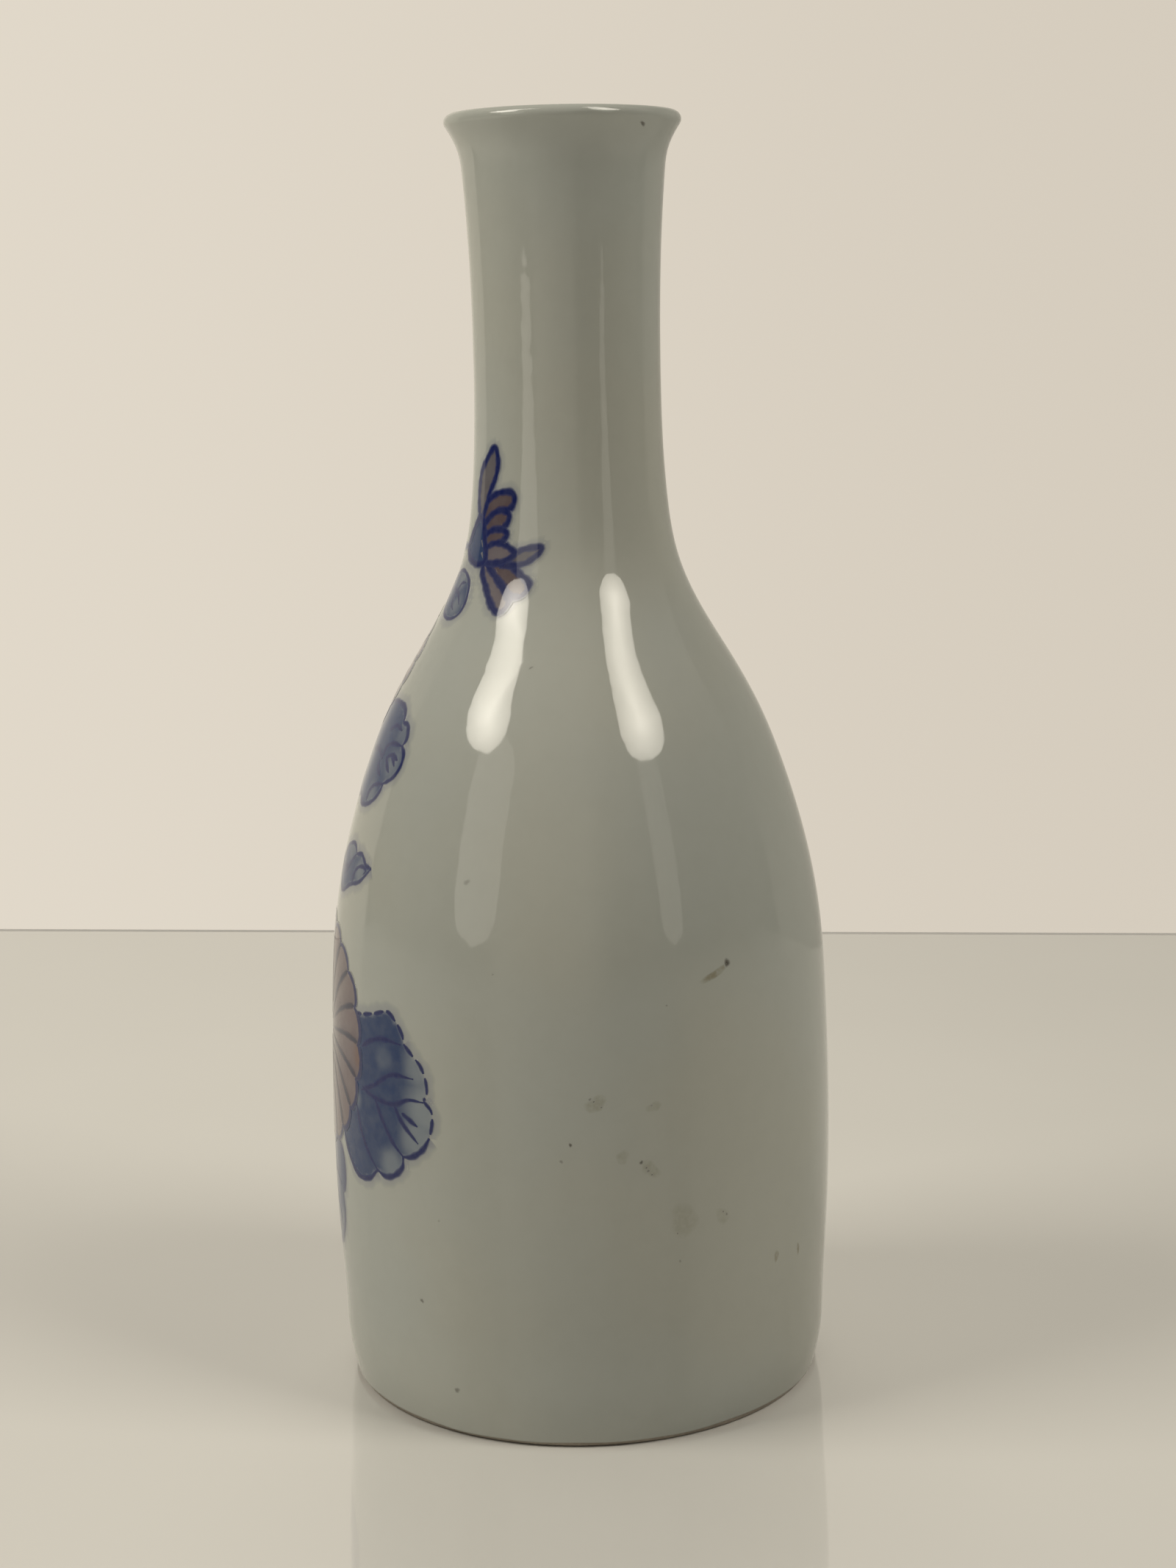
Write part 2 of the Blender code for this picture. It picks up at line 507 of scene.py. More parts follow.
def placed(shape, root, tip, width):
    """Put a shape drawn along a unit midline between a root and a tip."""
    root, tip = np.array(root, float), np.array(tip, float)
    side = np.array([root[1] - tip[1], tip[0] - root[0]]) / np.hypot(*(tip - root))
    return [tuple(tuple(root + (tip - root) * x + side * width * y) for x, y in line) for line in shape]


def distance_to(points, lines):
    """Distance of each point to the nearest of some polylines."""
    best = np.full(len(points), 1e9)
    for line in lines:
        a, b = line[:-1], line[1:]
        d = b - a
        size = np.maximum((d ** 2).sum(1), 1e-12)
        t = np.clip(((points[:, None] - a) * d).sum(2) / size, 0.0, 1.0)
        gap = points[:, None] - (a + d * t[..., None])
        best = np.minimum(best, np.sqrt((gap ** 2).sum(2)).min(1))
    return best


def fill(outline, spacing=0.55):
    """Triangles that fill a closed outline, fine enough to bend with the wall."""
    outline = evenly(np.concatenate([outline, outline[:1]]), 0.3)[:-1]
    low, high = outline.min(0), outline.max(0)
    us = np.arange(low[0], high[0], spacing)
    vs = np.arange(low[1], high[1], spacing * 0.87)
    lattice = np.array([(u + (i % 2) * spacing / 2, v) for i, v in enumerate(vs) for u in us])
    closed = np.concatenate([outline, outline[:1]])
    inside = winding(lattice, closed) & (distance_to(lattice, [closed]) > spacing * 0.45)
    everything = np.concatenate([outline, lattice[inside]])
    loop = list(range(len(outline)))
    result = delaunay_2d_cdt([Vector(p) for p in everything], [], [loop], 1, 1e-5)
    points = np.array([tuple(p) for p in result[0]])
    faces = [tuple(f) for f in result[2]]
    return points, [f if turns_left(points, f) else f[::-1] for f in faces], closed


def winding(points, closed):
    """True for each point inside a closed polyline."""
    inside = np.zeros(len(points), bool)
    for (x0, y0), (x1, y1) in zip(closed, closed[1:]):
        crosses = (y0 > points[:, 1]) != (y1 > points[:, 1])
        if y0 != y1:
            inside ^= crosses & (points[:, 0] < (x1 - x0) * (points[:, 1] - y0) / (y1 - y0) + x0)
    return inside


def turns_left(points, face):
    x, y = points[list(face)].T
    return float((x * np.roll(y, -1) - y * np.roll(x, -1)).sum()) > 0.0


# A brush line across its width: places, share of ink, and share of the core colour
BLEED = 1.5                  # its whole width over the width of its dark middle
ACROSS = np.array([-1.0, -0.66, -0.36, 0.0, 0.36, 0.66, 1.0])
INK_AMOUNT = (0.0, 0.80, 1.0, 1.0, 1.0, 0.80, 0.0)
INK_CORE = (0.0, 0.65, 1.0, 1.0, 1.0, 0.65, 0.0)

layers = []                  # the paint laid so far: (lowest corner, highest corner, paint at points)


def over(top, ground):
    """Lay rows of colours with an amount of paint each over other rows."""
    amount = top[:, 3:] + ground[:, 3:] * (1.0 - top[:, 3:])
    mixed = top[:, :3] * top[:, 3:] + ground[:, :3] * ground[:, 3:] * (1.0 - top[:, 3:])
    return np.concatenate([mixed / np.maximum(amount, 1e-6), amount], 1)


def ground_at(points):
    """The paint that is already on the glaze at some points."""
    colours = np.zeros((len(points), 4))
    colours[:, :3] = BLUE_PALE
    for low, high, paint in layers:
        near = ((points > low) & (points < high)).all(1)
        if near.any():
            colours[near] = over(paint(points[near]), colours[near])
    return colours


def shown_parts(path, hidden):
    """The stretches of a path that lie between its hidden points."""
    breaks = np.flatnonzero(np.diff(hidden.astype(int))) + 1
    parts = zip(np.split(path, breaks), np.split(hidden, breaks))
    return [part for part, covered in parts if not covered[0]]


class Drawing:
    """Chart geometry gathered for one painted piece: points, faces, colours and lifts."""

    def __init__(self):
        self.points = []
        self.faces = []
        self.colours = []
        self.lifts = []
        self.count = 0

    def add(self, points, faces, colours, lift):
        self.points.append(points)
        self.faces += [tuple(i + self.count for i in face) for face in faces]
        self.colours.append(np.broadcast_to(colours, (len(points), 4)))
        self.lifts.append(np.full(len(points), lift))
        self.count += len(points)

    def wash(self, outline, shade, lift, spacing=0.55):
        """A filled area; shade gives colours from points, and the paint thins at its very edge."""
        points, faces, closed = fill(outline, spacing)
        edge = distance_to(points, [closed])
        colours = shade(points)
        colours[:, 3] *= 0.45 + 0.55 * np.clip(edge / 0.4, 0.0, 1.0)
        self.add(points, faces, over(colours, ground_at(points)), lift)

        def laid(places):
            paint = shade(places)
            paint[:, 3] *= winding(places, closed)
            return paint

        layers.append((closed.min(0), closed.max(0), laid))

    def halo(self, path, width, strength):
        """A faint bleed of blue into the glaze, under everything else."""
        self.stroke(path, width, HALO_LIFT, core=NAVY_SOFT, taper=(0.0, 0.0), strength=strength)

    def stroke(self, path, width, lift, core=NAVY, edge=NAVY_SOFT, taper=(0.3, 0.3), thin=0.12,
               strength=1.0):
        """A brush line whose ends thin out, dark in its middle and bleeding softly at its sides."""
        path = np.asarray(path)
        if len(path) < 3:
            return
        ahead = np.gradient(path, axis=0)
        ahead /= np.maximum(np.hypot(*ahead.T), 1e-9)[:, None]
        side = np.stack([-ahead[:, 1], ahead[:, 0]], -1)
        t = np.linspace(0.0, 1.0, len(path))
        start = np.clip(t / max(taper[0], 1e-6), 0.0, 1.0) ** 0.6
        end = np.clip((1.0 - t) / max(taper[1], 1e-6), 0.0, 1.0) ** 0.6
        seed = path[0, 0] * 1.7 + path[0, 1] * 2.3
        length = np.arange(len(path)) * 0.25
        tremble = 1.0 + 0.10 * np.sin(length * 1.9 + seed) + 0.07 * np.sin(length * 4.3 + 2.0 * seed)
        half = 0.5 * width * np.maximum(start * end, thin) * tremble * BLEED
        grid = path[:, None] + side[:, None] * ACROSS[None, :, None] * half[:, None, None]
        rows, columns = grid.shape[:2]
        faces = []
        for i in range(rows - 1):
            for j in range(columns - 1):
                a = i * columns + j
                faces.append((a, a + columns, a + columns + 1, a + 1))
        ink = np.stack([blend(rgba(edge, a * strength), rgba(core, a * strength), s)
                        for a, s in zip(INK_AMOUNT, INK_CORE)])
        colours = np.broadcast_to(ink, (rows, columns, 4)).reshape(-1, 4)
        points = grid.reshape(-1, 2)
        faces = [face if turns_left(points, face) else face[::-1] for face in faces]
        colours = over(colours, ground_at(points))
        self.add(points, faces, colours, lift + LINE_STEP * (len(self.points) % LINE_STEPS))
        reach = 0.5 * width * BLEED

        def laid(places):
            away = distance_to(places, [path]) / reach
            amount = np.interp(away, ACROSS[3:], INK_AMOUNT[3:]) * strength
            ink = blend(edge, core, np.interp(away, ACROSS[3:], INK_CORE[3:]))
            return np.concatenate([ink, amount[:, None]], 1)

        layers.append((path.min(0) - reach, path.max(0) + reach, laid))

    def piece(self, name, material):
        """The finished piece: a thin closed solid that follows the wall."""
        points = np.concatenate(self.points)
        lifts = np.concatenate(self.lifts)
        count = len(points)
        top = on_wall(points[:, 0], points[:, 1], lifts)
        bottom = on_wall(points[:, 0], points[:, 1], lifts - PLATE_DEPTH)
        edges = {}
        for face in self.faces:
            for a, b in zip(face, face[1:] + face[:1]):
                if frozenset((a, b)) in edges:
                    del edges[frozenset((a, b))]
                else:
                    edges[frozenset((a, b))] = (a, b)
        faces = list(self.faces)
        faces += [tuple(i + count for i in face[::-1]) for face in self.faces]
        faces += [(a, a + count, b + count, b) for a, b in edges.values()]
        made = mesh_object(name, np.concatenate([top, bottom]).tolist(), faces)
        mesh = made.data
        paint = mesh.color_attributes.new("paint", "FLOAT_COLOR", "POINT")
        colours = np.concatenate([np.concatenate(self.colours)] * 2)
        paint.data.foreach_set("color", colours.astype(np.float32).ravel())
        mesh.shade_smooth()
        # The wall's own normals keep the rims of the thin pieces from glinting
        out = wall_normals(points[:, 0], points[:, 1])
        mesh.normals_split_custom_set_from_vertices(np.concatenate([out, out]).tolist())
        mesh.materials.append(material)
        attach(made, "root")


# ---------------------------------------------------------------- the painted spray

# How far each layer of paint lies off the skin, in mm
HALO_LIFT = 0.003
STEM_LIFT = 0.010
MARK_LIFT = 0.010
LEAF_LIFT = 0.014
BUD_LIFT = 0.015
LEAF_LINE_LIFT = 0.020
CALYX_LIFT = 0.025
FLOWER_LIFT = 0.031
BUD_LINE_LIFT = 0.036
FLOWER_LINE_LIFT = 0.040
BUD_STEP = 0.001             # between one part of a bud and the next
LINE_STEP = 0.0004           # between one line of a piece and the next
LINE_STEPS = 24              # after so many lines the lift starts again
PETAL_BOW = 0.22             # how far the lines between petals bow, as a share of a petal's width


def flat_shade(colour):
    return lambda points: np.tile(rgba(colour), (len(points), 1))


def leaf_shade(pale):
    """Blue wash that clears at its pale places: (u, v, radius, how clear)."""
    def shade(points):
        light = np.zeros(len(points))
        for u, v, radius, clear in pale:
            away = np.hypot(points[:, 0] - u, points[:, 1] - v) / radius
            light = np.maximum(light, clear * (1.0 - ease(away, 0.25, 1.0)))
        patches = np.sin(points[:, 0] * 1.3 + 1.3 * np.sin(points[:, 1] * 0.9))
        patches = patches * np.sin(points[:, 1] * 1.5 + 1.7 * np.sin(points[:, 0] * 0.7))
        light = np.clip(light + 0.04 * patches * (1.0 - light), 0.0, 1.0)
        return np.concatenate([blend(BLUE, BLUE_PALE, light), np.full((len(points), 1), 1.0)], 1)

    return shade


def lobed_leaf(name, material, lobes, lines, pale, width=0.52, dashed=(), bold=(), unseen=()):
    """A leaf of lobes with lines inside; each lobe and line is a few points of a smooth curve."""
    arcs = [curve(lobe) for lobe in lobes]
    outline = np.concatenate([line[:-1] for line in arcs + [curve(line) for line in unseen]])
    washes = Drawing()
    for line in arcs:
        washes.halo(line, 1.9, 0.24)
    washes.wash(outline, leaf_shade(pale), LEAF_LIFT)
    washes.piece(name + "_wash", material["wash"])
    strokes = Drawing()
    for i, line in enumerate(arcs):
        if i in dashed:
            for start in range(0, len(line), 10):
                dash = line[start:start + 9]
                strokes.stroke(dash, width * 0.85, LEAF_LINE_LIFT, taper=(0.2, 0.2), thin=0.5)
        else:
            weight, ends, thin = (1.35, 0.35, 0.4) if i in bold else (1.05, 0.15, 0.5)
            strokes.stroke(line, width * weight, LEAF_LINE_LIFT, taper=(ends, ends), thin=thin)
    for line in lines:
        strokes.stroke(curve(line), width * 1.05, LEAF_LINE_LIFT, taper=(0.12, 0.3), thin=0.3)
    strokes.piece(name + "_lines", material["line"])


def flower(name, material, centre, radius, petals, turn, rust=()):
    """A many-petalled flower seen from the front, its petals parted by dark lines."""
    centre = np.array(centre, float)
    step = 2.0 * math.pi / petals
    random = np.random.default_rng(petals)
    reaches = radius * random.uniform(0.985, 1.015, petals)
    tones = random.uniform(0.0, 1.0, petals)

    def at(angle, distance):
        return centre + np.stack([np.cos(angle) * distance, np.sin(angle) * distance], -1)

    arcs = []
    for i in range(petals):
        t = np.linspace(0.0, 1.0, 21)
        crown = np.sin(math.pi * t ** 0.85) ** 0.55
        arcs.append(at(turn + (i + t) * step, reaches[i] * (0.93 + 0.07 * crown)))
    for i in range(petals):
        arcs[i][0] = arcs[i - 1][-1]
    outline = np.concatenate([line[:-1] for line in arcs])

    def shade(points):
        local = points - centre
        away = np.hypot(*local.T)
        place = (np.arctan2(local[:, 1], local[:, 0]) - turn) / step
        place -= PETAL_BOW * np.sin(math.pi * away / radius)
        which = np.floor(place).astype(int) % petals
        share = place - np.floor(place)
        low_side = np.exp(-share * step * away / 0.9)
        high_side = np.exp(-(1.0 - share) * step * away / 0.5)
        light = 0.45 + 0.35 * ease(away / radius, 0.25, 0.8) + 0.2 * tones[which]
        colours = blend(MAUVE, PINK_PALE, np.clip(light, 0.0, 1.0))
        colours = blend(colours, MAUVE_DARK, np.clip(0.70 * low_side + 0.25 * high_side, 0.0, 0.85))
        tips = np.isin(which, rust) * ease(away / radius, 0.80, 0.98) * ease(share, 0.15, 0.5)
        colours = blend(colours, RUST, 0.7 * tips)
        return np.concatenate([colours, np.full((len(points), 1), 0.96)], 1)

    washes = Drawing()
    washes.wash(outline, shade, FLOWER_LIFT, 0.4)
    washes.piece(name + "_petals", material["petal"])
    strokes = Drawing()
    for i in range(petals):
        strokes.stroke(evenly(arcs[i], 0.25), 0.58, FLOWER_LINE_LIFT, edge=MAUVE_DARK,
                       taper=(0.15, 0.15), thin=0.5)
        distances = radius * np.linspace(0.93, 0.1 + 0.15 * (i % 2), 9)
        bow = step * PETAL_BOW * np.sin(math.pi * distances / radius)
        strokes.stroke(curve(at(turn + i * step + bow, distances)), 0.60, FLOWER_LINE_LIFT, core=LINE_MAUVE,
                       edge=MAUVE_DARK, taper=(0.04, 0.8), thin=0.15)
    strokes.piece(name + "_lines", material["line"])


# A lobed leaf on a unit midline: its lobes round the edge, and its lines
LEAF_LOBES = (
    ((0.00, 0.03), (0.04, 0.26), (0.18, 0.44), (0.30, 0.44), (0.38, 0.32)),
    ((0.38, 0.32), (0.48, 0.50), (0.62, 0.50), (0.72, 0.36), (0.72, 0.24)),
    ((0.72, 0.24), (0.86, 0.26), (0.97, 0.12), (1.00, 0.00), (0.96, -0.14), (0.84, -0.26), (0.72, -0.24)),
    ((0.72, -0.24), (0.72, -0.38), (0.60, -0.52), (0.46, -0.48), (0.38, -0.32)),
    ((0.38, -0.32), (0.28, -0.46), (0.14, -0.44), (0.03, -0.24), (0.00, -0.03)),
)
LEAF_LINES = (
    ((0.02, 0.0), (0.30, 0.02), (0.60, 0.0), (0.90, 0.0)),
    ((0.10, 0.01), (0.20, 0.14), (0.26, 0.34)),
    ((0.12, -0.01), (0.20, -0.16), (0.24, -0.34)),
    ((0.34, 0.02), (0.48, 0.14), (0.60, 0.36)),
    ((0.36, 0.0), (0.48, -0.16), (0.58, -0.38)),
    ((0.38, 0.32), (0.36, 0.20), (0.28, 0.08)),
    ((0.72, 0.24), (0.66, 0.14), (0.56, 0.05)),
    ((0.72, -0.24), (0.66, -0.12), (0.58, -0.04)),
)

BUD_PETALS = (
    (PETAL_RED, ((9.2, 107.2), (13.0, 107.0), (15.3, 105.9), (17.0, 104.7), (16.7, 103.2), (14.9, 103.5),
                 (13.0, 104.8), (10.6, 106.0))),
    (PETAL_GREY, ((8.8, 107.4), (11.5, 105.7), (14.0, 104.0), (15.7, 102.5), (15.3, 101.1), (13.4, 102.0),
                  (10.8, 104.3), (9.2, 105.9))),
    (PETAL_DUSK, ((11.8, 106.9), (13.2, 108.2), (14.4, 109.0), (16.4, 109.3), (16.7, 108.9), (16.2, 108.1),
                  (14.9, 107.2))),
    (PETAL_DUSK, ((6.2, 111.8), (5.2, 114.6), (5.4, 117.6), (6.7, 119.4), (8.3, 120.9), (9.0, 119.1),
                  (8.6, 117.1), (7.5, 115.0), (6.9, 112.2))),
    (PETAL_RED, ((6.5, 112.2), (7.6, 114.5), (9.3, 115.5), (11.3, 115.7), (12.0, 114.9), (11.6, 113.8),
                 (10.0, 113.2), (8.0, 112.0))),
    (PETAL_RED, ((6.8, 110.9), (8.3, 112.7), (10.0, 113.5), (11.3, 113.2), (11.5, 112.4), (10.9, 111.5),
                 (8.9, 110.6))),
    (PETAL_RED, ((7.1, 109.7), (8.8, 111.0), (10.6, 111.2), (11.6, 110.7), (11.0, 109.8), (9.4, 109.1),
                 (7.9, 108.8))),
    (PETAL_GREY, ((7.6, 108.2), (9.2, 109.3), (11.0, 109.6), (12.6, 109.0), (13.3, 108.4), (12.6, 107.7),
                  (11.0, 107.2), (9.0, 107.2))),
)
FAR_BUD_MIDDLE = -7.0         # the far bud is the bud mirrored about this u
FAR_BUD_DROP = 21.0
BUD_CALYX = ((3.5, 108.6), (4.4, 110.6), (5.9, 112.4), (7.0, 111.8), (7.7, 110.2), (8.9, 107.5), (7.5, 106.8),
             (5.2, 107.4))


def bud(name, material, petals, calyx):
    """A half-open bud: each petal is filled and outlined before the next one covers it."""
    washes = Drawing()
    outlines = [closed_curve(points, 0.2) for _, points in petals] + [closed_curve(calyx, 0.2)]
    loops = [np.concatenate([outline, outline[:1]]) for outline in outlines]
    for loop in loops:
        washes.halo(loop, 1.7, 0.20)
    for (colour, points), outline in zip(petals, outlines):
        heart = np.array(points[0])

        def shade(places, colour=colour, heart=heart):
            away = np.hypot(*(places - heart).T)
            tones = blend(colour, MAUVE_DARK, 0.55 * np.exp(-away / 1.6))
            return np.concatenate([tones, np.full((len(places), 1), 0.94)], 1)

        washes.wash(outline, shade, BUD_LIFT + BUD_STEP * len(washes.points), 0.4)
    washes.piece(name + "_petals", material["petal"])
    cup = Drawing()
    cup.wash(outlines[-1], flat_shade(BLUE), CALYX_LIFT, 0.4)
    cup.piece(name + "_calyx", material["wash"])
    strokes = Drawing()
    for i, loop in enumerate(loops):
        hidden = np.zeros(len(loop), bool)
        for later in loops[i + 1:]:
            hidden |= winding(loop, later)
        for part in shown_parts(loop, hidden):
            strokes.stroke(part, 0.74, BUD_LINE_LIFT, taper=(0.05, 0.05), thin=0.8)
    strokes.piece(name + "_lines", material["line"])


def mirrored(points):
    return tuple((2.0 * FAR_BUD_MIDDLE - u, v - FAR_BUD_DROP) for u, v in points)


def paint_spray(material):
    """The whole spray. Its right-hand edge is the part that shows from the camera."""
    stems = Drawing()
    for path, width in ((((1.0, 58.0), (-2.5, 68.0), (-4.0, 78.0), (-5.0, 84.0)), 1.0),
                        (((-7.0, 99.0), (-6.5, 103.5), (-3.5, 107.0), (0.5, 108.4), (4.0, 108.9)), 0.9),
                        (((-3.2, 70.0), (-7.5, 72.5), (-9.5, 74.0)), 0.7),
                        (((-2.2, 66.0), (2.5, 67.0), (6.0, 66.5)), 0.7),
                        (((-3.5, 74.0), (1.5, 77.0), (4.5, 79.5)), 0.7),
                        (((-4.2, 79.0), (-11.0, 82.5), (-18.5, 87.5)), 0.8),
                        (((-1.0, 62.5), (-9.0, 63.0), (-13.5, 60.5)), 0.7),
                        (((-5.0, 104.9), (-1.5, 103.6), (1.0, 103.0)), 0.6)):
        stems.stroke(curve(path), width, STEM_LIFT, core=STEM_BLUE, taper=(0.1, 0.1), thin=0.6)
    stems.piece("stems", material["line"])
    lobed_leaf(
        "side_leaf", material,
        lobes=(
            ((15.5, 50.2), (17.6, 50.4), (20.6, 51.1), (23.1, 51.8), (24.6, 50.9), (25.8, 49.6),
                (26.1, 48.4)),
            ((26.1, 48.4), (27.6, 47.2), (28.9, 46.1), (29.7, 44.5), (29.9, 43.0), (29.4, 42.0)),
            ((29.4, 42.0), (30.6, 40.9), (30.7, 39.3), (30.3, 37.6)),
            ((30.3, 37.6), (29.3, 36.0), (27.6, 34.8), (26.1, 34.5)),
            ((26.1, 34.5), (25.9, 33.1), (24.4, 31.8), (22.7, 31.3), (21.1, 31.7)),
            ((21.1, 31.7), (19.3, 30.2), (16.4, 29.8), (13.9, 31.4), (12.3, 33.4), (11.5, 35.0))),
        lines=(
            ((17.7, 46.4), (19.9, 47.6), (22.3, 48.3), (25.6, 48.2)),
            ((17.6, 40.9), (20.6, 42.2), (24.0, 44.2), (27.8, 44.4)),
            ((17.9, 41.4), (19.6, 40.9), (21.9, 40.6), (24.6, 40.7), (27.0, 41.7), (29.4, 41.8)),
            ((16.3, 38.8), (17.6, 35.6), (19.3, 33.3), (21.1, 31.7)),
            ((20.7, 40.8), (22.4, 38.2), (24.2, 36.0), (26.1, 34.5)),
            ((24.6, 40.5), (26.0, 38.7), (28.6, 36.6)),
            ((25.9, 39.9), (28.5, 38.7))),
        pale=((30.2, 41.0, 5.5, 0.9), (29.0, 45.8, 4.0, 0.75), (28.8, 37.0, 4.5, 0.8),
            (24.0, 33.0, 3.2, 0.65), (15.8, 39.5, 2.2, 0.45), (22.5, 46.0, 2.2, 0.25)),
        dashed=(0, 1, 2), bold=(3, 4), unseen=(((11.5, 35.0), (9.0, 42.0), (11.0, 49.0), (15.5, 50.2)),))
    lobed_leaf(
        "low_leaf", material,
        lobes=(
            ((8.5, 32.0), (10.6, 31.4), (11.5, 28.8), (11.0, 26.6), (9.9, 25.4)),
            ((9.9, 25.4), (10.2, 23.2), (9.4, 20.8), (7.6, 18.8), (5.4, 17.6), (3.4, 17.3)),
            ((3.4, 17.3), (0.6, 17.6), (-1.6, 19.4), (-2.2, 21.8), (-1.6, 23.8)),
            ((-1.6, 23.8), (-3.4, 25.6), (-3.6, 28.4), (-2.2, 30.8), (0.0, 32.0))),
        lines=(
            ((4.0, 31.5), (4.4, 27.0), (4.0, 22.0), (3.8, 18.6)),
            ((4.3, 28.5), (6.8, 26.8), (9.2, 26.4)), ((4.2, 24.5), (6.4, 22.6), (8.2, 20.6)),
            ((4.3, 27.5), (1.8, 26.4), (-1.6, 26.8)), ((4.1, 23.5), (2.2, 21.6), (0.2, 20.4))),
        pale=((9.0, 21.0, 3.0, 0.5), (0.0, 19.5, 3.0, 0.6), (-2.6, 28.0, 2.8, 0.5)),
        unseen=(((0.0, 32.0), (4.0, 34.0), (8.5, 32.0)),))
    lobed_leaf(
        "shoulder_leaf", material,
        lobes=(
            ((1.2, 86.4), (3.2, 87.6), (5.4, 88.0), (7.5, 88.0), (9.2, 87.7), (10.5, 86.8), (10.9, 85.9)),
            ((10.9, 85.9), (12.2, 85.8), (13.1, 85.0), (13.6, 84.0), (13.3, 83.1)),
            ((13.3, 83.1), (14.5, 82.1), (14.8, 80.6), (14.0, 79.1), (12.2, 78.1)),
            ((12.2, 78.1), (12.0, 77.0), (10.9, 75.8), (9.1, 75.0), (6.8, 74.7), (4.2, 75.6)),
            ((4.2, 75.6), (2.0, 75.4), (0.4, 76.8), (0.0, 78.6))),
        lines=(
            ((9.0, 80.9), (9.1, 82.3), (10.6, 83.1), (13.3, 83.1)),
            ((10.4, 81.2), (11.8, 81.7), (13.4, 80.5)), ((11.7, 81.9), (13.6, 81.3)),
            ((10.4, 81.4), (11.4, 80.4), (12.6, 79.6)), ((7.8, 84.5), (9.6, 85.3), (11.6, 84.9)),
            ((8.3, 80.6), (8.9, 79.6), (10.4, 78.9)), ((8.4, 75.3), (8.4, 76.5), (9.8, 77.6), (12.2, 78.1)),
            ((3.6, 81.4), (6.4, 81.8), (9.2, 80.9))),
        pale=((13.0, 80.6, 3.0, 0.45), (12.4, 84.6, 2.2, 0.35), (9.5, 76.3, 2.6, 0.4),
            (3.0, 80.0, 3.0, 0.4)),
        unseen=(((0.0, 78.6), (-1.2, 81.0), (-0.8, 84.5), (1.2, 86.4)),))
    lobed_leaf(
        "small_leaf", material,
        lobes=(
            ((3.5, 66.6), (4.6, 68.4), (6.4, 69.4), (8.2, 69.9), (9.5, 69.7), (10.5, 68.9)),
            ((10.5, 68.9), (12.2, 69.2), (13.4, 68.6), (14.2, 68.1), (15.7, 68.0)),
            ((15.7, 68.0), (14.6, 66.9), (13.1, 65.8), (10.2, 64.9), (7.5, 63.7), (5.4, 64.0),
                (3.5, 66.6))),
        lines=(
            ((10.9, 65.3), (11.0, 66.5), (12.1, 67.5), (13.4, 67.8), (14.4, 67.5), (13.9, 66.9)),
            ((6.6, 65.6), (8.4, 67.2), (10.5, 68.9)), ((4.0, 66.4), (6.2, 66.6), (8.0, 66.9))),
        pale=((12.8, 67.2, 2.2, 0.6), (8.6, 69.0, 2.0, 0.4)), width=0.42)
    lobed_leaf(
        "neck_leaf", material,
        lobes=(
            ((0.2, 103.0), (1.4, 104.8), (3.6, 105.8), (5.6, 105.5), (7.3, 104.4), (8.3, 102.6),
                (8.6, 101.0), (7.8, 99.9), (5.6, 99.6), (2.6, 100.6), (0.2, 103.0)),),
        lines=(
            ((1.0, 103.0), (3.4, 103.4), (5.6, 102.8), (7.2, 101.6)),
            ((4.6, 103.0), (5.2, 104.2), (6.4, 104.4)), ((4.2, 103.2), (4.8, 101.6), (6.2, 100.8))),
        pale=((5.0, 104.6, 1.8, 0.5), (6.6, 101.4, 2.0, 0.4)), width=0.36)
    for name, root, tip, width in (("left_leaf", (-8.0, 41.0), (-27.0, 44.5), 17.0),
                                   ("back_leaf", (-9.0, 74.0), (-20.0, 71.5), 9.0),
                                   ("far_leaf", (-9.5, 34.0), (-19.0, 22.5), 11.0),
                                   ("high_leaf", (-11.5, 95.0), (-17.5, 103.0), 7.0)):
        lobed_leaf(name, material, placed(LEAF_LOBES, root, tip, width), placed(LEAF_LINES, root, tip, width),
                   pale=((*tip, width * 0.35, 0.6),
                         ((root[0] + tip[0]) / 2, tip[1] - width * 0.4, width * 0.3, 0.5)),
                   unseen=((tuple(np.add(root, (0.0, -0.3))), root),), dashed=(2,))
    flower("large_flower", material, (3.0, 45.5), 14.5, 19, math.radians(3.6), rust=(18, 6, 11))
    flower("high_flower", material, (-6.0, 92.0), 9.6, 17, math.radians(8.0), rust=(5, 12))
    bud("bud", material, BUD_PETALS, BUD_CALYX)
    far = [(colour, mirrored(points)) for colour, points in BUD_PETALS]
    bud("far_bud", material, far, mirrored(BUD_CALYX))


# ---------------------------------------------------------------- marks of the kiln

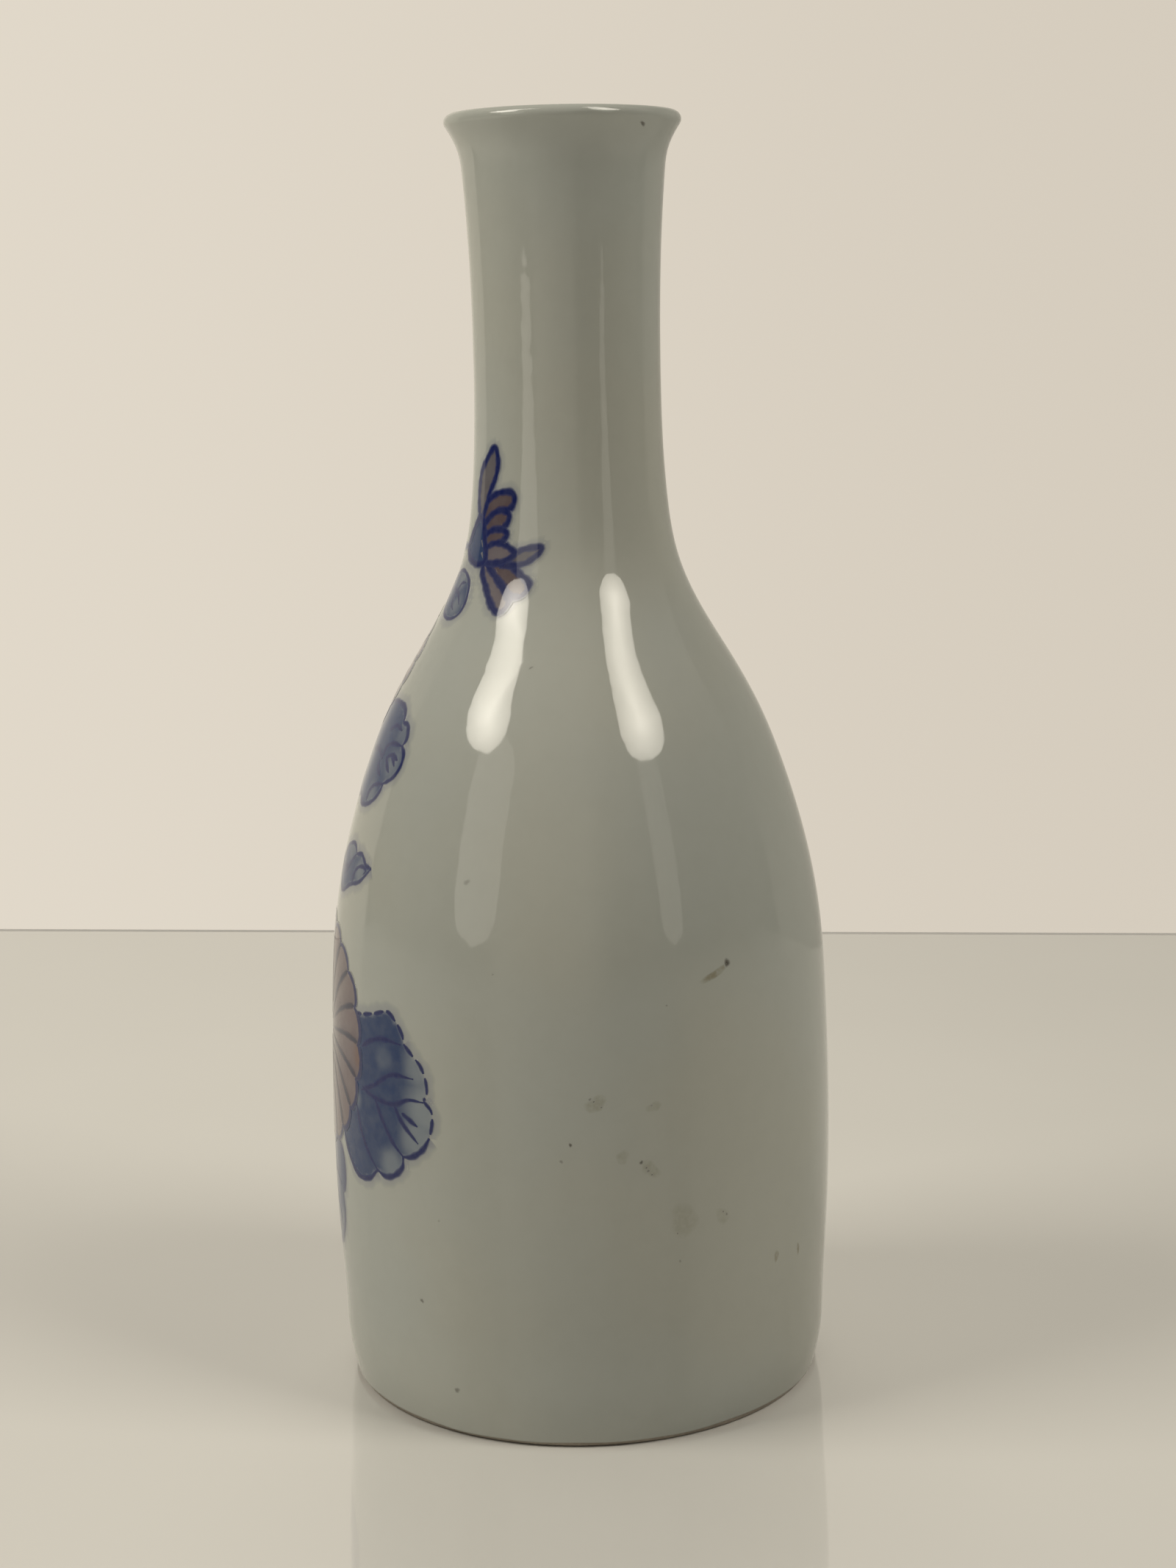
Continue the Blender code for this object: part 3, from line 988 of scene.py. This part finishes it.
def kiln_marks(material):
    """Iron specks and faint brown stains, placed by their angle from -X and height in degrees and mm."""
    specks = Drawing()
    for angle, height, size, dark in (
            (133.0, 153.9, 0.42, 0.95), (63.5, 68.2, 0.42, 0.45), (124.5, 57.9, 0.55, 1.0),
            (91.8, 43.6, 0.22, 0.5), (105.0, 42.4, 0.20, 0.35), (87.5, 38.2, 0.26, 0.95),
            (92.6, 43.3, 0.15, 0.8), (94.2, 42.6, 0.13, 0.7), (103.6, 35.0, 0.16, 0.8),
            (104.8, 34.1, 0.14, 0.7), (121.6, 28.1, 0.15, 0.7), (110.4, 26.5, 0.13, 0.6),
            (85.5, 36.2, 0.26, 0.45), (102.5, 35.7, 0.28, 0.9), (104.0, 34.6, 0.22, 0.6),
            (122.5, 27.7, 0.22, 0.55), (111.0, 23.0, 0.20, 0.4), (51.0, 16.7, 0.34, 0.7),
            (59.5, 6.2, 0.42, 0.65), (71.0, 58.0, 0.16, 0.3), (75.0, 92.0, 0.24, 0.5),
            (109.0, 54.0, 0.15, 0.4), (57.0, 27.5, 0.18, 0.3), (228.0, 61.0, 0.30, 0.6),
            (212.0, 24.0, 0.24, 0.5), (301.0, 47.0, 0.34, 0.6), (276.0, 97.0, 0.26, 0.5)):
        u, v = place_on_chart(angle, height)
        spot(specks, u, v, size, (0.0, 0.45, 0.75, 1.0), np.array([1.0, 0.85, 0.4, 0.0]) * dark, SPECK_BROWN)
    specks.piece("iron_specks", material["speck"])
    stains = Drawing()
    for angle, height, size, dark, stretch, lean in (
            (121.2, 56.9, 0.60, 0.75, 3.4, 0.45), (93.0, 43.0, 1.1, 0.40, 1.2, 0.3),
            (105.5, 42.2, 0.7, 0.34, 1.3, 0.2), (98.5, 36.5, 0.8, 0.30, 1.2, 2.0),
            (104.5, 34.8, 1.0, 0.38, 1.3, 2.2), (112.0, 28.0, 2.0, 0.26, 1.1, 0.4),
            (121.5, 27.6, 0.9, 0.26, 1.5, 2.6), (138.0, 20.2, 0.8, 0.62, 0.6, 0.0),
            (147.0, 19.6, 0.8, 0.62, 0.5, 0.0), (216.0, 23.0, 1.4, 0.26, 1.3, 0.5)):
        u, v = place_on_chart(angle, height)
        spot(stains, u, v, size, (0.0, 0.4, 0.65, 0.85, 1.0), np.array([1.3, 1.3, 1.15, 0.6, 0.0]) * dark,
             STAIN_BROWN, stretch, lean)
    stains.piece("kiln_stains", material["stain"])


def spot(drawing, u, v, size, rings, strength, colour, stretch=1.0, lean=0.0):
    """A soft-edged mark with a slightly wandering outline; rings are shares of its size."""
    steps = 16
    angles = np.linspace(0.0, 2.0 * math.pi, steps, endpoint=False)
    wobble = 1.0 + 0.16 * np.sin(2 * angles + u) + 0.10 * np.sin(3 * angles + v)
    wobble += 0.06 * np.sin(5 * angles + u)
    points = [(u, v)]
    colours = [rgba(colour, strength[0])]
    for ring, alpha in zip(rings[1:], strength[1:]):
        for angle, wander in zip(angles, wobble):
            x = math.cos(angle) * size * ring * wander * stretch
            y = math.sin(angle) * size * ring * wander
            points.append((u + x * math.cos(lean) - y * math.sin(lean),
                           v + x * math.sin(lean) + y * math.cos(lean)))
            colours.append(rgba(colour, alpha))
    faces = [(0, 1 + j, 1 + (j + 1) % steps) for j in range(steps)]
    for i in range(len(rings) - 2):
        a = 1 + i * steps
        for j in range(steps):
            k = (j + 1) % steps
            faces.append((a + j, a + steps + j, a + steps + k, a + k))
    drawing.add(np.array(points), faces, np.array(colours), MARK_LIFT)


# ---------------------------------------------------------------- camera, table and light

TABLE_BACK = 0.2266          # the table's back edge behind the bottle
TABLE_SKEW = -0.0974         # how that edge slants across the view
TABLE_RIM = 0.0020           # width of the dull strip of painted shade along that edge
TABLE_LIGHT = (0.745, 0.735, 0.71)
TABLE_DARK = (0.715, 0.705, 0.68)
# Grey of the strip along the back edge: painted shade
TABLE_EDGE_SHADE = (0.50, 0.49, 0.48)
WARM = (1.0, 0.94, 0.82)
LIGHT_AIM = 0.09             # height the lights point at
FIRST_SIGHT = 1.5            # ray depths below this see a lamp from the camera by one mirror alone
WALL_SLANT = 0.107           # how the foot of the wall slants across the view, as the glaze mirrors it
# The wall as the camera sees it, painted lighter on the left and darker on the right: painted light and shade
WALL_LEFT_LIT = (0.755, 0.690, 0.590)
WALL_RIGHT_SHADED = (0.665, 0.603, 0.510)
# The room as the glaze mirrors it; "dull" is what lights surfaces that don't mirror
BACK_LEFT = (0.60, 0.553, 0.46)
BACK_MIDDLE = (0.74, 0.68, 0.57)
BACK_RIGHT = (0.33, 0.305, 0.255)
FRONT_LOW = (0.060, 0.057, 0.050)
FRONT_HIGH = (0.85, 0.79, 0.67)
FRONT_DULL = (0.095, 0.090, 0.078)
WINDOW = (1.02, 0.95, 0.80)
ABOVE = (0.42, 0.39, 0.33)
ABOVE_DULL = (0.08, 0.075, 0.065)
CAMERA_DISTANCE = 2.0 * HEIGHT
CAMERA_HEIGHT = 0.851 * HEIGHT
CAMERA_PITCH = math.radians(10.54)
CAMERA_YAW = math.radians(0.294)
CAMERA_ROLL = math.radians(-1.07)
CAMERA_LENS = 58.35


def make_camera():
    data = bpy.data.cameras.new("camera")
    data.sensor_width = 36.0
    data.lens = CAMERA_LENS
    data.clip_start = 0.01
    data.clip_end = 50.0
    camera = in_scene("camera", data)
    down = Matrix.Rotation(math.radians(90.0) - CAMERA_PITCH, 4, "X")
    turn = Matrix.Rotation(-CAMERA_YAW, 4, "Z")
    roll = Matrix.Rotation(CAMERA_ROLL, 4, "Z")
    place = Matrix.Translation((0.0, -CAMERA_DISTANCE, CAMERA_HEIGHT))
    camera.matrix_world = place @ turn @ down @ roll
    bpy.context.scene.camera = camera


def make_table():
    """A wide glossy table top with a dull strip along its back edge, darkened as painted shade where the top
    ends.
    """
    half, front, thickness = 1.6, -1.9, 0.02
    rows = []
    for inset in (None, TABLE_RIM, 0.0):
        for x in (-half, half):
            rows.append((x, front if inset is None else TABLE_BACK + TABLE_SKEW * x - inset, 0.0))
    points = rows + [(x, y, -thickness) for x, y, _ in rows]
    faces = [(0, 1, 3, 2), (2, 3, 5, 4), (8, 9, 7, 6), (10, 11, 9, 8), (1, 0, 6, 7), (4, 5, 11, 10),
             (0, 2, 8, 6), (2, 4, 10, 8), (3, 1, 7, 9), (5, 3, 9, 11)]
    table = mesh_object("table", points, faces)
    material, tree, shader = new_material("table_top")
    clouds = spread(tree, noise(tree, 9.0, 3.0, 7.0), 0.3, 0.7)
    tree.links.new(mix(tree, clouds, TABLE_LIGHT, TABLE_DARK), shader.inputs["Base Color"])
    shader.inputs["Roughness"].default_value = 0.035
    shader.inputs["IOR"].default_value = 2.1
    rim, rim_tree, rim_shader = new_material("table_rim_shade")
    rim_tree.links.new(spread(rim_tree, noise(rim_tree, 60.0, 2.0, 3.0), 0.3, 0.7, 0.5, 0.7),
                       rim_shader.inputs["Roughness"])
    rim_shader.inputs["Base Color"].default_value = (*TABLE_EDGE_SHADE, 1.0)
    table.data.materials.append(material)
    table.data.materials.append(rim)
    table.data.polygons[1].material_index = 1
    return table


def facing_bottle(thing, azimuth, elevation, distance):
    """Put a light where it faces the bottle; azimuth runs from the camera's side towards +X."""
    a, e = math.radians(azimuth), math.radians(elevation)
    way = Vector((math.sin(a) * math.cos(e), -math.cos(a) * math.cos(e), math.sin(e)))
    thing.location = Vector((0.0, 0.0, LIGHT_AIM)) + way * distance
    thing.rotation_mode = "QUATERNION"
    thing.rotation_quaternion = way.to_track_quat("Z", "Y")


def soft_light(name, azimuth, elevation, distance, size, radiance):
    """A square panel that lights surfaces but isn't seen in the glaze."""
    data = bpy.data.lights.new(name, "AREA")
    data.shape = "SQUARE"
    data.size = size
    data.energy = radiance * math.pi * size ** 2
    data.color = WARM
    light = in_scene(name, data)
    facing_bottle(light, azimuth, elevation, distance)
    light.visible_camera = False
    light.visible_glossy = False
    return light


def seen_light(name, azimuth, elevation, distance, widths, length, radiance, core, lean=0.0):
    """A lamp that only glossy surfaces show, at first sight; widths are half widths from low to high."""
    along = np.linspace(-1.0, 1.0, 33)
    half = np.interp(along, np.linspace(-1.0, 1.0, len(widths)), widths) * np.sqrt(1.0 - np.abs(along) ** 5)
    up = along * length / 2
    middle = lean * np.clip(along, 0.0, 1.0) ** 2
    ring = np.concatenate([np.stack([middle + half, up], -1), np.stack([middle - half, up], -1)[-2:0:-1]])
    points = [(0.0, -0.25 * length, 0.0)] + [(x, y, 0.0) for x, y in ring]
    faces = [(0, i + 1, (i + 1) % len(ring) + 1) for i in range(len(ring))]
    lamp = mesh_object(name, points, faces)
    glow = lamp.data.color_attributes.new("glow", "FLOAT_COLOR", "POINT")
    strengths = [core] + [1.0] * len(ring)
    glow.data.foreach_set("color", np.repeat(strengths, 4).astype(np.float32))
    material = bpy.data.materials.new(name)
    material.use_nodes = True
    tree = material.node_tree
    tree.nodes.clear()
    amount = add_node(tree, "Attribute")
    amount.attribute_name = "glow"
    direct = worked_out(tree, "LESS_THAN", add_node(tree, "LightPath").outputs["Ray Depth"], FIRST_SIGHT)
    strength = times(tree, times(tree, amount.outputs["Fac"], radiance), direct)
    emission = add_node(tree, "Emission", Color=WARM, Strength=strength)
    add_node(tree, "OutputMaterial", Surface=emission.outputs["Emission"])
    lamp.data.materials.append(material)
    facing_bottle(lamp, azimuth, elevation, distance)
    lamp.visible_camera = False
    lamp.visible_diffuse = False
    lamp.visible_transmission = False
    lamp.visible_volume_scatter = False
    lamp.visible_shadow = False


def only_for(light, thing, state):
    """Let a light fall on one thing only, or on everything else."""
    group = bpy.data.collections.new(light.name)
    group.objects.link(thing)
    group.collection_objects[0].light_linking.link_state = state
    light.light_linking.receiver_collection = group


def make_lights(table):
    seen_light("lamp_left", -64.0, 46.5, 0.9, (0.205, 0.222, 0.160, 0.086, 0.081), 0.58, 7.0, 2.2, 0.27)
    seen_light("lamp_right", 47.5, 49.6, 0.9, (0.205, 0.212, 0.150, 0.115, 0.125), 0.67, 6.4, 2.2)
    seen_light("glow_left", -49.0, 18.0, 1.0, (0.20, 0.20), 0.66, 1.6, 1.0)
    seen_light("glow_right", 44.0, 18.0, 1.0, (0.10, 0.10), 0.66, 1.0, 1.0)
    soft_light("side_left", -75.0, 40.0, 0.9, 0.42, 7.2)
    for_bottle = soft_light("side_right", 78.0, 57.0, 0.9, 0.42, 5.2)
    only_for(for_bottle, table, "EXCLUDE")
    for name, azimuth, elevation, size, radiance in (("low_right", 64.0, 42.0, 0.36, 9.2),
                                                     ("low_back", 180.0, 48.0, 0.45, 1.1)):
        only_for(soft_light(name, azimuth, elevation, 0.9, size, radiance), table, "INCLUDE")


def make_world():
    """Cream wall behind, dim room in front, and the wall colour for the camera with painted light and shade:
    lighter on the left, darker on the right.
    """
    world = bpy.data.worlds.new("studio")
    world.use_nodes = True
    bpy.context.scene.world = world
    tree = world.node_tree
    background = tree.nodes["Background"]
    x, y, z = add_node(tree, "SeparateXYZ", Vector=add_node(tree, "TexCoord").outputs["Generated"]).outputs
    shaded_wall_colour = mix(tree, spread(tree, x, -0.3, 0.3), WALL_LEFT_LIT, WALL_RIGHT_SHADED)
    seen_in_glaze = mix(tree, spread(tree, x, -0.55, -0.30), BACK_LEFT, BACK_MIDDLE)
    seen_in_glaze = mix(tree, spread(tree, x, -0.2, 0.55), seen_in_glaze, BACK_RIGHT)
    rays = add_node(tree, "LightPath")
    diffuse = rays.outputs["Is Diffuse Ray"]
    front = mix(tree, spread(tree, z, -0.15, 0.9), FRONT_LOW, FRONT_HIGH)
    window = times(tree, spread(tree, x, -0.75, -0.55), spread(tree, x, 0.30, 0.05))
    front = mix(tree, times(tree, window, 0.5), front, WINDOW)
    front = mix(tree, diffuse, front, FRONT_DULL)
    above = mix(tree, diffuse, ABOVE, ABOVE_DULL)
    back = mix(tree, spread(tree, z, 0.55, 0.9), seen_in_glaze, above)
    slanted = worked_out(tree, "MULTIPLY_ADD", x, WALL_SLANT, y)
    room = mix(tree, spread(tree, slanted, 0.37, 0.41), front, back)
    tree.links.new(mix(tree, rays.outputs["Is Camera Ray"], room, shaded_wall_colour), background.inputs["Color"])


# ---------------------------------------------------------------- the scene

make_camera()
make_lights(make_table())
make_world()
bpy.context.scene.view_settings.view_transform = "Standard"

materials = {
    "wash": paint_material("blue_wash", 620.0, 0.05),
    "line": paint_material("brush_line", 1400.0, 0.03),
    "petal": paint_material("petal_wash", 450.0, 0.06),
    "speck": paint_material("iron_speck", 1700.0, 0.15),
    "stain": paint_material("kiln_stain", 1500.0, 0.6),
}

body = turned_mesh("glazed_body", body_profile(), 256, skin_shape, False)
body.data.materials.append(glaze_material())
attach(body, "root")
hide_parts("bottle")

foot = turned_mesh("bare_foot", foot_profile(), 192, plain_shape, True)
foot.data.materials.append(clay_material())
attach(foot, "root")

paint_spray(materials)
kiln_marks(materials)
